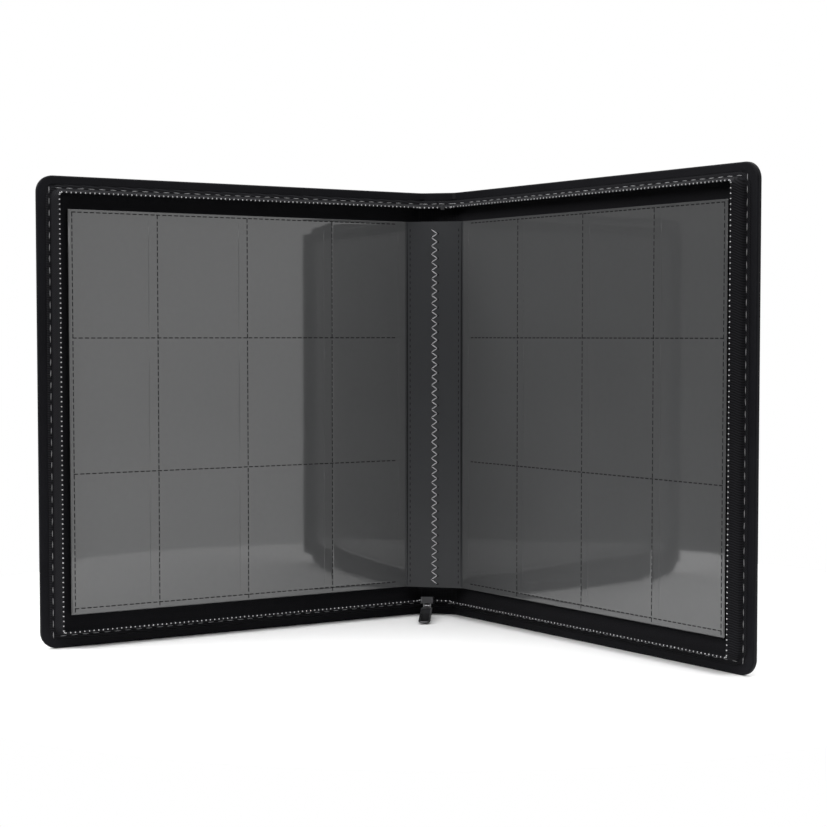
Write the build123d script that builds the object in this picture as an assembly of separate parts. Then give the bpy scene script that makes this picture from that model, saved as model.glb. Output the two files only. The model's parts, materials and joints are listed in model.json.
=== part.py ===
from build123d import *
import os
from math import atan2, cos, degrees, hypot, radians, sin, tan

# A zip-round binder for trading cards, standing open like a book.
# +X runs from the front cover to the back cover, +Y from the reader to the spine, +Z up.
# The origin is at the foot of the spine, in the middle of its thickness.
# The back half lies on the +X side. The front half is its mirror image.
# Distances on a cover: "reach" runs from the hinge to the fore-edge, "depth" runs outwards
# from the cover's inner face, and "inset" runs inwards from the cover's edge.

# ---- Covers and spine ----
COVER_HEIGHT = 340.0
COVER_REACH = 317.0
CORNER_RADIUS = 12.0
OPEN_ANGLE = 41.38
HINGE_HALF_SPACING = 13.3
OUTER_CLOTH = 0.8
BOARD = 2.0
LINING = 0.4
BOARD_INSET = 1.5
BINDING_BAND = 6.0
BINDING_WRAP = 0.5
BINDING_ROUND = 1.2
SPINE_HALF_WIDTH = 11.0
HINGE_GROOVE = 3.0

# ---- Pocket sheets ----
SHEET_COUNT = 10
SHEET_PITCH = 0.55
CORE = 0.2
FILM = 0.125
COLUMN_WIDTHS = (66.0, 72.0, 72.0, 64.8)
ROW_HEIGHTS = (97.5, 98.0, 90.0)
SHEET_FOOT = 24.0
BOTTOM_MARGIN = 4.5
TOP_MARGIN = 2.0
OUTER_MARGIN = 3.0
BEND_HALF_SPACING = 23.2
SHEET_TO_COVER = 0.6
CENTRE_HALF_WIDTH = 10.0
LEAF_START = 6.0
SLIT_WIDTH = 0.6
SLIT_OFFSET = 7.0
SLIT_END_GAP = 4.0
PAD_HALF_WIDTH = 8.0
PAD_END_INSET = 1.0

# ---- Saddle stitch ----
STITCH_THREAD = 0.8
STITCH_HEIGHT = 0.35
STITCH_WIDTH = 5.0
STITCH_PERIOD = 6.5
STITCH_END_INSET = 3.0

# ---- Zip ----
TAPE_THICKNESS = 0.6
TAPE_OUTER_INSET = 6.3
TAPE_FOOT_INSET = 10.1
COIL_INSET = 12.75
COIL_THICKNESS = 1.7
COIL_BASE = 0.5
COIL_TOOTH = 0.65
COIL_PITCH = 2.7
COIL_MEETING_GAP = 0.3
TAPE_START = 20.0
STOP_LENGTH = 3.0
STOP_WALL = 0.6
STOP_X = 6.0

# ---- Slider and pull tab ----
SLIDER_X = -6.4
SLIDER_YAW = 7.4
SLIDER_LENGTH = 11.0
SLIDER_WALL = 1.1
SLIDER_CORNER = 1.8
SLIDER_LIP = 1.0
COIL_SIDE_ROOM = 0.65
COIL_END_ROOM = 1.6
TAPE_SLOT_ROOM = 0.5
PIN_RADIUS = 0.7
PIN_CLEARANCE = 0.1
KNUCKLE_WALL = 0.8
KNUCKLE_WIDTH = 3.6
KNUCKLE_TOP_GAP = 0.4
EAR_THICKNESS = 1.1
EAR_SIDE_GAP = 0.2
EAR_RADIUS = 1.3
TAB_LENGTH = 40.0
TAB_WIDTH = 9.2
TAB_THICKNESS = 1.5
TAB_DROOP = 9.5
TAB_SHOULDER = 7.0
TAB_TIP_ROUND = 3.8
TAB_EDGE_ROUND = 0.5
TAB_RECESS_DEPTH = 0.3
TAB_RECESS_INSET = 1.6

# ---- Worked out from the sizes above ----
COVER_THICKNESS = OUTER_CLOTH + BOARD + LINING
SPINE_INNER_Y = -COVER_THICKNESS / 2
LEAF_THICKNESS = CORE + 2 * FILM
STACK = (SHEET_COUNT - 1) * SHEET_PITCH + LEAF_THICKNESS
LEAF_REACH = sum(COLUMN_WIDTHS) + OUTER_MARGIN
SHEET_HEIGHT = BOTTOM_MARGIN + sum(ROW_HEIGHTS) + TOP_MARGIN
SHEET_HEAD = SHEET_FOOT + SHEET_HEIGHT
ANGLE = radians(OPEN_ANGLE)
# The top leaf's bend line is set so that the whole stack lies on the open cover.
BEND_DEPTH = STACK + SHEET_TO_COVER
BEND_OUT = BEND_HALF_SPACING - HINGE_HALF_SPACING
SHEET_FRONT_Y = SPINE_INNER_Y - (BEND_DEPTH + BEND_OUT * sin(ANGLE)) / cos(ANGLE)
BEND_CREEP = tan(ANGLE / 2)
COIL_TIP = HINGE_HALF_SPACING - COIL_MEETING_GAP / 2
TAPE_HEIGHT = COIL_TIP - COIL_BASE - COIL_TOOTH
TAPE_LEAN = degrees(atan2(COIL_INSET - TAPE_FOOT_INSET, TAPE_HEIGHT))
PAST = 1.0

COVER_PLACE = Pos(HINGE_HALF_SPACING, SPINE_INNER_Y, 0) * Rot(0, 0, -OPEN_ANGLE)
# Turns a flat outline so that its X points up, its Y stays and it is extruded towards -X.
UPRIGHT = Location(Plane(origin=(0, 0, 0), x_dir=(0, 0, 1), z_dir=(-1, 0, 0)))


def save(name, *solids):
    """Write one node. A node of several separate solids is written as a group."""
    group = solids[0] if len(solids) == 1 else Compound(children=list(solids))
    export_step(group, f"parts/{name}.step")


def mirrored(shape):
    """The front half's copy of a piece of the back half."""
    return mirror(shape, about=Plane.YZ)


def raised(outline, height):
    """A flat outline made solid, upwards from its own plane."""
    return extrude(outline, height, dir=(0, 0, 1))


def prism(points, low, high):
    """A solid with a cornered outline in plan, between two heights."""
    return Pos(0, 0, low) * raised(Polygon(*points, align=None), high - low)


def slab(outline, shallow, deep):
    """A solid whose outline lies in reach and height, between two depths."""
    return Rot(90, 0, 0) * Pos(0, 0, -deep) * raised(outline, deep - shallow)


def box(low, high):
    """A plain block between two opposite corners."""
    sides = [top - bottom for bottom, top in zip(low, high)]
    middle = [(top + bottom) / 2 for bottom, top in zip(low, high)]
    return Pos(*middle) * Box(*sides)


# ---- Covers ----

def cover_outline(inset, near=HINGE_GROOVE):
    """One cover's face, with its two fore-edge corners rounded."""
    far = COVER_REACH - inset
    low = inset
    high = COVER_HEIGHT - inset
    face = Polygon((near, low), (far, low), (far, high), (near, high), align=None)
    corners = face.vertices().sort_by(Axis.X)[-2:]
    return fillet(corners, CORNER_RADIUS - inset)


def edge_binding():
    """A folded edge tape that wraps the cover's three free edges, open at the hinge."""
    outer_depth = COVER_THICKNESS + BINDING_WRAP
    block = slab(cover_outline(0), -BINDING_WRAP, outer_depth)
    rims = block.faces().filter_by(Axis.Y).edges()
    free_rims = [edge for edge in rims if edge.center().X > HINGE_GROOVE + PAST]
    block = fillet(free_rims, BINDING_ROUND)
    before = HINGE_GROOVE - PAST
    window = slab(cover_outline(BINDING_BAND, before), -BINDING_WRAP - PAST, outer_depth + PAST)
    fold = slab(cover_outline(BINDING_WRAP, before), 0, COVER_THICKNESS)
    return block - window - fold


def cover_panels():
    """The cover's three layers, from the inner face outwards."""
    board_depth = LINING + BOARD
    lining = slab(cover_outline(BINDING_WRAP), 0, LINING)
    board = slab(cover_outline(BOARD_INSET), LINING, board_depth)
    outer = slab(cover_outline(BINDING_WRAP), board_depth, COVER_THICKNESS)
    return {"board": board, "outer": outer, "lining": lining}


# ---- Zip tape and coil, along a straight edge ----
# A section has its inset first and its depth second. The tape stands on the inner face,
# so its depths are negative.

def tape_section():
    """A flange that is sewn down, and a wall that leans in towards the coil."""
    half = TAPE_THICKNESS / 2
    return (
        (TAPE_OUTER_INSET, 0),
        (TAPE_FOOT_INSET + half, 0),
        (COIL_INSET + half, -TAPE_HEIGHT),
        (COIL_INSET - half, -TAPE_HEIGHT),
        (TAPE_FOOT_INSET - half, -TAPE_THICKNESS),
        (TAPE_OUTER_INSET, -TAPE_THICKNESS),
    )


def comb(start, end):
    """The coil's side view along its run: a base with one block for each turn."""
    base = -TAPE_HEIGHT - COIL_BASE
    points = [(end, base), (end, -TAPE_HEIGHT), (start, -TAPE_HEIGHT), (start, base)]
    count = int((end - start) / COIL_PITCH)
    for turn in range(count):
        left = start + (turn + 0.25) * COIL_PITCH
        right = left + COIL_PITCH / 2
        points += [(left, base), (left, -COIL_TIP), (right, -COIL_TIP), (right, base)]
    return points


def bottom_tape(start, end):
    """The tape along a bottom edge."""
    blank = raised(Polygon(*tape_section(), align=None), end - start)
    return Pos(end, 0, 0) * UPRIGHT * blank


def bottom_coil(start, end):
    """The coil along a bottom edge."""
    blank = raised(Polygon(*comb(start, end), align=None), COIL_THICKNESS)
    return Pos(0, 0, COIL_INSET - COIL_THICKNESS / 2) * blank


def to_top(shape):
    """The same piece at the top edge."""
    return Pos(0, 0, COVER_HEIGHT) * mirror(shape, about=Plane.XY)


def inside_binding():
    """Space that the edge binding leaves, with its rounded corners."""
    return slab(cover_outline(TAPE_OUTER_INSET), -2 * COIL_TIP, PAST)


def bottom_corner():
    """Space of the bottom run, cut at 45 degrees where it meets the side run."""
    inner = 2 * COIL_INSET
    points = ((0, 0), (COVER_REACH, 0), (COVER_REACH - inner, inner), (0, inner))
    return slab(Polygon(*points, align=None), -2 * COIL_TIP, PAST) & inside_binding()


def side_corner():
    """Space of the side run, cut at 45 degrees at both ends."""
    inner = 2 * COIL_INSET
    near = COVER_REACH - inner
    points = ((COVER_REACH, 0), (COVER_REACH, COVER_HEIGHT), (near, COVER_HEIGHT - inner), (near, inner))
    return slab(Polygon(*points, align=None), -2 * COIL_TIP, PAST) & inside_binding()


def side_tape():
    """The tape along the fore-edge."""
    points = [(COVER_REACH - inset, depth) for inset, depth in tape_section()]
    return prism(points, 0, COVER_HEIGHT) & side_corner()


def side_coil():
    """The coil along the fore-edge."""
    blank = raised(Polygon(*comb(0, COVER_HEIGHT), align=None), COIL_THICKNESS)
    near_face = COVER_REACH - COIL_INSET + COIL_THICKNESS / 2
    return Pos(near_face, 0, 0) * UPRIGHT * blank & side_corner()


def cover_zip():
    """One cover's half of the zip: three straight runs of tape and of coil."""
    tape = bottom_tape(TAPE_START, COVER_REACH) & bottom_corner()
    coil = bottom_coil(TAPE_START, COVER_REACH) & bottom_corner()
    tapes = {"top": to_top(tape), "side": side_tape(), "bottom": tape}
    coils = [to_top(coil), side_coil(), coil]
    return tapes, coils


# ---- Pocket sheets ----

def bend_line(depth):
    """Where a sheet at this depth in the stack bends from the spine onto the open cover."""
    return BEND_HALF_SPACING + depth * BEND_CREEP, SHEET_FRONT_Y + depth


def leaf_place(number):
    """The frame of one leaf, counted from the top of the stack, on its own bend line."""
    x, y = bend_line(number * SHEET_PITCH)
    return Pos(x, y, 0) * Rot(0, 0, -OPEN_ANGLE)


def film_outline():
    """A pocket film, with a slit on the spine side of every pocket to load its card."""
    blank = (
        (LEAF_START, SHEET_FOOT),
        (LEAF_REACH, SHEET_FOOT),
        (LEAF_REACH, SHEET_HEAD),
        (LEAF_START, SHEET_HEAD),
    )
    outline = Polygon(*blank, align=None)
    left = 0.0
    for width in COLUMN_WIDTHS:
        foot = SHEET_FOOT + BOTTOM_MARGIN
        for height in ROW_HEIGHTS:
            slit = Rectangle(SLIT_WIDTH, height - 2 * SLIT_END_GAP)
            outline -= Pos(left + SLIT_OFFSET, foot + height / 2) * slit
            foot += height
        left += width
    return outline


def leaf_layers():
    """One leaf in its own frame: a core with a film of pockets on each side."""
    film = film_outline()
    core = Polygon(
        (LEAF_START, SHEET_FOOT),
        (LEAF_REACH, SHEET_FOOT),
        (LEAF_REACH, SHEET_HEAD),
        (LEAF_START, SHEET_HEAD),
        align=None,
    )
    front = slab(film, 0, FILM)
    middle = slab(core, FILM, FILM + CORE)
    back = slab(film, FILM + CORE, LEAF_THICKNESS)
    return front, middle, back


def on_leaf(number, reach, depth):
    """Plan position of a point given in a leaf's own frame."""
    x, y = bend_line(number * SHEET_PITCH)
    along = (cos(ANGLE), -sin(ANGLE))
    outwards = (sin(ANGLE), cos(ANGLE))
    return x + reach * along[0] + depth * outwards[0], y + reach * along[1] + depth * outwards[1]


def sheet_gutter(number):
    """The bare strip of one sheet between the sewn centre and the leaf's pockets."""
    depth = number * SHEET_PITCH
    front = SHEET_FRONT_Y + depth
    back = front + LEAF_THICKNESS
    points = (
        (CENTRE_HALF_WIDTH, front),
        bend_line(depth),
        on_leaf(number, LEAF_START, 0),
        on_leaf(number, LEAF_START, LEAF_THICKNESS),
        bend_line(depth + LEAF_THICKNESS),
        (CENTRE_HALF_WIDTH, back),
    )
    return prism(points, SHEET_FOOT, SHEET_HEAD)


def sheet_centre(number):
    """The sewn middle of one sheet."""
    front = SHEET_FRONT_Y + number * SHEET_PITCH
    low = (-CENTRE_HALF_WIDTH, front, SHEET_FOOT)
    high = (CENTRE_HALF_WIDTH, front + LEAF_THICKNESS, SHEET_HEAD)
    return box(low, high)


def binding_pad():
    """The strip that carries the sewn sheets on the spine."""
    low = (-PAD_HALF_WIDTH, SHEET_FRONT_Y + STACK, SHEET_FOOT + PAD_END_INSET)
    high = (PAD_HALF_WIDTH, SPINE_INNER_Y, SHEET_HEAD - PAD_END_INSET)
    return box(low, high)


def saddle_stitch():
    """The zigzag thread down the middle of the top sheet."""
    foot = SHEET_FOOT + STITCH_END_INSET
    usable = SHEET_HEIGHT - 2 * STITCH_END_INSET
    turns = int(usable / (STITCH_PERIOD / 2))
    swing = STITCH_WIDTH / 2
    line = [(swing if turn % 2 else -swing, foot + turn * STITCH_PERIOD / 2) for turn in range(turns + 1)]
    reach = hypot(STITCH_PERIOD / 2, STITCH_WIDTH) / (STITCH_PERIOD / 2) * STITCH_THREAD / 2
    left = [(x - reach / 2, z) for x, z in line]
    right = [(x + reach / 2, z) for x, z in reversed(line)]
    outline = Polygon(*left, *right, align=None)
    return Pos(0, SHEET_FRONT_Y, 0) * slab(outline, -STITCH_HEIGHT, 0)


# ---- Spine ----

def spine_layer(shallow, deep, inset):
    """One flat layer of the spine, between two depths from its inner face."""
    low = (-SPINE_HALF_WIDTH, SPINE_INNER_Y + shallow, inset)
    high = (SPINE_HALF_WIDTH, SPINE_INNER_Y + deep, COVER_HEIGHT - inset)
    return box(low, high)


def spine_binding():
    """The edge tape folded over the spine's bottom end."""
    half = COVER_THICKNESS / 2
    low = (-SPINE_HALF_WIDTH, -half - BINDING_WRAP, 0)
    high = (SPINE_HALF_WIDTH, half + BINDING_WRAP, BINDING_BAND)
    cap = box(low, high)
    rims = cap.faces().sort_by(Axis.Z)[0].edges().filter_by(Axis.X)
    cap = fillet(rims, BINDING_ROUND)
    fold_low = (-SPINE_HALF_WIDTH - PAST, -half, BINDING_WRAP)
    fold_high = (SPINE_HALF_WIDTH + PAST, half, BINDING_BAND + PAST)
    return cap - box(fold_low, fold_high)


def on_cover(reach, depth):
    """Plan position of a point given on the open back cover."""
    x = HINGE_HALF_SPACING + reach * cos(ANGLE) + depth * sin(ANGLE)
    y = SPINE_INNER_Y - reach * sin(ANGLE) + depth * cos(ANGLE)
    return x, y


def hinge_cloth():
    """The two cloths that bend between the spine and a cover: the outer and the lining."""
    strips = []
    for shallow, deep in ((0, LINING), (LINING + BOARD, COVER_THICKNESS)):
        points = (
            (SPINE_HALF_WIDTH, SPINE_INNER_Y + shallow),
            (SPINE_HALF_WIDTH, SPINE_INNER_Y + deep),
            on_cover(HINGE_GROOVE, deep),
            on_cover(HINGE_GROOVE, shallow),
        )
        strips.append(prism(points, BINDING_WRAP, COVER_HEIGHT - BINDING_WRAP))
    return strips


def zip_corner(section):
    """A straight ruled piece from the spine's zip to the start of a cover's zip."""
    spine_end = [(SPINE_HALF_WIDTH, SPINE_INNER_Y + depth, inset) for inset, depth in section]
    cover_end = [(*on_cover(TAPE_START, depth), inset) for inset, depth in section]
    ends = [Face(Wire.make_polygon([Vector(*point) for point in end])) for end in (spine_end, cover_end)]
    return Solid.make_loft([face.outer_wire() for face in ends], ruled=True)


def coil_section():
    """The coil's plain section, used where it turns the corner onto a cover."""
    half = COIL_THICKNESS / 2
    return (
        (COIL_INSET - half, -TAPE_HEIGHT),
        (COIL_INSET + half, -TAPE_HEIGHT),
        (COIL_INSET + half, -COIL_TIP),
        (COIL_INSET - half, -COIL_TIP),
    )


def zip_stop():
    """A crimped metal stop on the coil at the top of the spine, where the zip begins."""
    half = COIL_THICKNESS / 2 + STOP_WALL
    tip = SPINE_INNER_Y - COIL_TIP
    gap = COIL_MEETING_GAP
    low = (STOP_X - STOP_LENGTH / 2, tip - gap - STOP_WALL, COIL_INSET - half - gap)
    high = (STOP_X + STOP_LENGTH / 2, SPINE_INNER_Y - TAPE_HEIGHT, COIL_INSET + half + gap)
    hollow_low = (low[0] - PAST, tip - gap, low[2] + STOP_WALL)
    hollow_high = (high[0] + PAST, high[1] + PAST, high[2] - STOP_WALL)
    return to_top(box(low, high) - box(hollow_low, hollow_high))


# ---- Slider and pull tab ----
# In the slider's own frame X is its length, -Y points out past the coil and +Z is its inner side.

COIL_MIDDLE = TAPE_HEIGHT + (COIL_BASE + COIL_TOOTH) / 2
CAVITY_HALF_HEIGHT = COIL_THICKNESS / 2 + COIL_SIDE_ROOM
SLIDER_HALF_HEIGHT = CAVITY_HALF_HEIGHT + SLIDER_WALL
CAVITY_OUT = (COIL_BASE + COIL_TOOTH) / 2 + COIL_END_ROOM
SLOT_HALF_HEIGHT = TAPE_THICKNESS / 2 + TAPE_SLOT_ROOM
PIN_BORE = PIN_RADIUS + PIN_CLEARANCE
KNUCKLE_RADIUS = PIN_BORE + KNUCKLE_WALL
PIN_DROP = SLIDER_HALF_HEIGHT + KNUCKLE_TOP_GAP + KNUCKLE_RADIUS
EAR_INNER = KNUCKLE_WIDTH / 2 + EAR_SIDE_GAP
SLIDER_PLACE = (
    Pos(SLIDER_X, SPINE_INNER_Y - COIL_MIDDLE, COIL_INSET)
    * Rot(0, 0, SLIDER_YAW)
    * Rot(-TAPE_LEAN, 0, 0)
)


def slider_body():
    """A channel that closes round the coil, with a slot behind it for the tape."""
    half = SLIDER_LENGTH / 2
    front = -CAVITY_OUT - SLIDER_WALL
    rear = CAVITY_OUT + SLIDER_LIP
    block = box((-half, front, -SLIDER_HALF_HEIGHT), (half, rear, SLIDER_HALF_HEIGHT))
    block = fillet(block.edges().filter_by(Axis.Z), SLIDER_CORNER)
    reach = half + PAST
    cavity = box((-reach, -CAVITY_OUT, -CAVITY_HALF_HEIGHT), (reach, CAVITY_OUT, CAVITY_HALF_HEIGHT))
    slot = box((-reach, 0, -SLOT_HALF_HEIGHT), (reach, rear + PAST, SLOT_HALF_HEIGHT))
    return block - cavity - slot


def slider_bail():
    """Two ears under the slider with a round pin between them."""
    ears = []
    for side in (-1, 1):
        middle = side * (EAR_INNER + EAR_THICKNESS / 2)
        disc = Rot(0, 90, 0) * Cylinder(EAR_RADIUS, EAR_THICKNESS)
        post_low = (-EAR_THICKNESS / 2, -EAR_RADIUS, 0)
        post_high = (EAR_THICKNESS / 2, EAR_RADIUS, PIN_DROP - SLIDER_HALF_HEIGHT)
        ears.append(Pos(middle, 0, -PIN_DROP) * (disc + box(post_low, post_high)))
    pin = Pos(0, 0, -PIN_DROP) * Rot(0, 90, 0) * Cylinder(PIN_RADIUS, 2 * EAR_INNER)
    return ears[0] + pin + ears[1]


def pull_tab():
    """A flat tab with a knuckle that turns on the slider's pin, drooping towards the reader."""
    half = TAB_WIDTH / 2
    neck = KNUCKLE_WIDTH / 2
    outline = Polygon(
        (-neck, 0),
        (-neck, -TAB_SHOULDER + half - neck),
        (-half, -TAB_SHOULDER),
        (-half, -TAB_LENGTH),
        (half, -TAB_LENGTH),
        (half, -TAB_SHOULDER),
        (neck, -TAB_SHOULDER + half - neck),
        (neck, 0),
        align=None,
    )
    tips = outline.vertices().sort_by(Axis.Y)[:2]
    outline = fillet(tips, TAB_TIP_ROUND)
    plate = Pos(0, 0, -TAB_THICKNESS / 2) * raised(outline, TAB_THICKNESS)
    rims = [edge for edge in plate.faces().filter_by(Axis.Z).edges() if edge.center().Y < -TAB_SHOULDER]
    plate = fillet(rims, TAB_EDGE_ROUND)
    recess_length = TAB_LENGTH - TAB_SHOULDER - 2 * TAB_RECESS_INSET
    recess = RectangleRounded(
        TAB_WIDTH - 2 * TAB_RECESS_INSET, recess_length, TAB_TIP_ROUND - TAB_RECESS_INSET
    )
    middle = -(TAB_LENGTH + TAB_SHOULDER) / 2
    for side in (1, -1):
        start = side * TAB_THICKNESS / 2 - (TAB_RECESS_DEPTH if side > 0 else 0)
        plate -= Pos(0, middle, start) * raised(recess, TAB_RECESS_DEPTH)
    knuckle = Rot(0, 90, 0) * Cylinder(KNUCKLE_RADIUS, KNUCKLE_WIDTH)
    bore = Rot(0, 90, 0) * Cylinder(PIN_BORE, KNUCKLE_WIDTH + 2 * PAST)
    return Rot(TAB_DROOP + TAPE_LEAN, 0, 0) * (plate + knuckle - bore)


# ---- Write every node ----

os.makedirs("parts", exist_ok=True)

save("spine_lining", spine_layer(0, LINING, BINDING_WRAP))
save("spine_board", spine_layer(LINING, LINING + BOARD, BOARD_INSET))
save("spine_outer", spine_layer(LINING + BOARD, COVER_THICKNESS, BINDING_WRAP))
save("spine_edge_binding", spine_binding(), to_top(spine_binding()))
save("binding_pad", binding_pad())
save("sheet_centres", *[sheet_centre(number) for number in range(SHEET_COUNT)])
save("saddle_stitch", saddle_stitch())

SPINE_TAPE = Pos(0, SPINE_INNER_Y, 0) * bottom_tape(-SPINE_HALF_WIDTH, SPINE_HALF_WIDTH)
SPINE_COIL = Pos(0, SPINE_INNER_Y, 0) * bottom_coil(-SPINE_HALF_WIDTH, SPINE_HALF_WIDTH)
save("spine_zip_tape", SPINE_TAPE, to_top(SPINE_TAPE))
save("spine_zip_coil", SPINE_COIL, to_top(SPINE_COIL))
save("zip_stop", zip_stop())

PANELS = cover_panels()
BINDING = edge_binding()
TAPES, COILS = cover_zip()
CORNERS = [zip_corner(tape_section()), zip_corner(coil_section())]
CORNERS += [to_top(corner) for corner in CORNERS]
GUTTERS = [sheet_gutter(number) for number in range(SHEET_COUNT)]
LAYERS = leaf_layers()
CLOTHS = hinge_cloth()

for cover, leaves, place in (("back", "right", lambda shape: shape), ("front", "left", mirrored)):
    for layer, panel in PANELS.items():
        save(f"{cover}_{layer}", place(COVER_PLACE * panel))
    save(f"{cover}_edge_binding", place(COVER_PLACE * BINDING))
    for run, tape in TAPES.items():
        save(f"{cover}_zip_tape_{run}", place(COVER_PLACE * tape))
    save(f"{cover}_zip_coil", *[place(COVER_PLACE * coil) for coil in COILS])
    save(f"{cover}_hinge_cloth", *[place(cloth) for cloth in CLOTHS])
    save(f"{cover}_zip_corners", *[place(corner) for corner in CORNERS])
    save(f"{leaves}_sheet_gutters", *[place(gutter) for gutter in GUTTERS])
    for number in range(SHEET_COUNT):
        solids = [place(leaf_place(number) * layer) for layer in LAYERS]
        save(f"{leaves}_leaf_{number + 1:02d}", *solids)

save("slider_body", SLIDER_PLACE * slider_body())
save("slider_bail", SLIDER_PLACE * slider_bail())
save("pull_tab", SLIDER_PLACE * Pos(0, 0, -PIN_DROP) * pull_tab())
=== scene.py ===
import json
import math
import random

import bmesh
import bpy
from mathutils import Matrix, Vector


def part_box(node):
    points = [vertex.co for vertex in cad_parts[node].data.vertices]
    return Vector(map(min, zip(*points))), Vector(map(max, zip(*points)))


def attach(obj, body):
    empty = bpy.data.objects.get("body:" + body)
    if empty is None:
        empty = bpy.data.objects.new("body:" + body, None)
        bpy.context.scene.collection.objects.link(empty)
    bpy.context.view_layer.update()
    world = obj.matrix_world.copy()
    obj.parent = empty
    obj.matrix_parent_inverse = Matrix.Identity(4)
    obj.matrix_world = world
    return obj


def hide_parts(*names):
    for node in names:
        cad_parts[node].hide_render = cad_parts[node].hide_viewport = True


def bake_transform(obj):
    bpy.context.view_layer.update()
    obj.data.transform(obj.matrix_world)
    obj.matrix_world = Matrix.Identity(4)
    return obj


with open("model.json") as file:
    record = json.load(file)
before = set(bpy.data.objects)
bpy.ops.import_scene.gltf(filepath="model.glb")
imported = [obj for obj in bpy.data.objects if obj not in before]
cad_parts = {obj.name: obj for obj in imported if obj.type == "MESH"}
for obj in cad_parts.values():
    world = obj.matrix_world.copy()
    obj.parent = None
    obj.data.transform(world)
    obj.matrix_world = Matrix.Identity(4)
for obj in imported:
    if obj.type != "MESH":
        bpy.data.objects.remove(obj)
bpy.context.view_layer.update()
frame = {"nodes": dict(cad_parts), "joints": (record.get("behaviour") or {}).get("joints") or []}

# Lengths are in metres, and side is +1 for the back half and -1 for the front half. A place on
# either half is a reach over the inner faces from mid-spine, a depth outwards from the inner
# face, and a height. An inset is a distance inwards from a cover's edge.
MM = 0.001
JOINTS = {joint["name"]: joint for joint in frame["joints"]}
HINGE = Vector(JOINTS["back_cover_hinge"]["pos_m"])
ANGLE = math.radians(JOINTS["back_cover_hinge"]["range_deg"][1])
ALONG = Vector((math.cos(ANGLE), -math.sin(ANGLE), 0))
OUT = Vector((math.sin(ANGLE), math.cos(ANGLE), 0))
UPRIGHT = Vector((0, 0, 1))
FORWARD = Vector((0, -1, 0))
SIDEWAYS = Vector((1, 0, 0))
SIDES = {
    -1: {"cover": "front", "leaves": "left", "body": "front_cover"},
    1: {"cover": "back", "leaves": "right", "body": "back_cover"},
}

# ---- Sizes read from the frame ----
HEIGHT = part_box("back_edge_binding")[1].z
BINDING_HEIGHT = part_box("spine_lining")[0].z
SPINE_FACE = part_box("spine_lining")[0].y
SPINE_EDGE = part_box("spine_lining")[1].x
COVER_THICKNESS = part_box("spine_outer")[1].y - SPINE_FACE
SHEET_LOW, SHEET_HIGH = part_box("sheet_centres")
SHEET_FRONT = SHEET_LOW.y
SHEET_HEIGHT = SHEET_HIGH.z - SHEET_LOW.z
TAPE_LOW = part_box("spine_zip_tape")[0]
TAPE_HEIGHT = SPINE_FACE - TAPE_LOW.y
COIL_TIP = SPINE_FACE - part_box("spine_zip_coil")[0].y

# ---- Sizes of the covers and leaves, as in the CAD ----
REACH = 317 * MM
LEAF_COUNT = 10
LEAF_THICKNESS = 0.45 * MM
# Each face of a leaf: its depth, and the direction that leads out of the leaf there.
LEAF_FACES = ((0.0, -1), (LEAF_THICKNESS, 1))
COLUMNS = [66 * MM, 72 * MM, 72 * MM, 64.8 * MM]
ROWS = [97.5 * MM, 98 * MM, 90 * MM]
BOTTOM_MARGIN = 4.5 * MM
OUTER_MARGIN = 3 * MM
LEAF_REACH = sum(COLUMNS) + OUTER_MARGIN

# ---- The zip's tape ----
TAPE_OUTER_INSET = TAPE_LOW.z
TAPE_FOOT_INSET = 10.1 * MM
TAPE_THICKNESS = 0.6 * MM
TAPE_SUNK = 0.05 * MM
TAPE_SWELL = 0.06 * MM
TAPE_BOW = 0.9 * MM
BOWED_SHARE = 0.72
WALL_STEPS = 9
TAPE_CORNER = 2.5 * MM
TAPE_STEP = 3 * MM

# ---- The zip's cord and teeth ----
COIL_INSET = 12.75 * MM
COIL_CORNER = 1.6 * MM
CORD_LIFT = 0.25 * MM
CORD_HALF_WIDTH = 0.62 * MM
CORD_HALF_HEIGHT = 0.4 * MM
CORD_SIDES = 8
CORD_STEP = 2 * MM
TOOTH_PITCH = 3.5 * MM
TOOTH_SIZE = (1.2 * MM, 1.1 * MM, 0.8 * MM)
TOOTH_SINK = 0.28 * MM

# The zip bends from just past the slider on the spine to a reach on the cover.
ZIP_BEFORE = 1.1 * MM
ZIP_AFTER = 20 * MM
# A bend's curve has a handle at each end, this share of the length on that side of the hinge.
BEND_HANDLE = 0.6

# ---- Stitches ----
SEAM_INSET = 8.9 * MM
SEAM_PROUD = 0.12 * MM
SEAM_STITCH = (4.9 * MM, 3.3 * MM)
SEAM_START = 2 * MM
SEAM_CORNER = 0.6 * MM
SEAM_STEP = 0.5 * MM
STITCH_WIDTH = 0.6 * MM
STITCH_HEIGHT = 0.45 * MM
STITCH_TILT = 0.06
STITCH_LENGTHS = (0.92, 1.06)
OUTSIDE_INSET = 4.6 * MM
OUTSIDE_STITCH = (3.0 * MM, 1.6 * MM)
OUTSIDE_START = 6 * MM
# The squared width of a stitch at its two ends, as a share of its widest, which blunts them.
BLUNT_END = 0.04

# ---- Hinge cloths, and the edge tape across them ----
HINGE_GROOVE = 3 * MM
STRIP_OVERLAP_SPINE = 0.6 * MM
STRIP_OVERLAP_COVER = 0.8 * MM
STRIP_STEPS = 14
CLOTH_PROUD = 0.06 * MM
OUTER_CLOTH = 0.8 * MM
OUTER_DIP = -0.9 * MM
LINING_CLOTH = 0.4 * MM
LINING_DIP = 0.5 * MM
EDGE_WRAP = 0.55 * MM
EDGE_TAPE_HEIGHT = 6 * MM
EDGE_ROUNDING = 0.9 * MM
EDGE_INSIDE = 0.02 * MM

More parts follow.
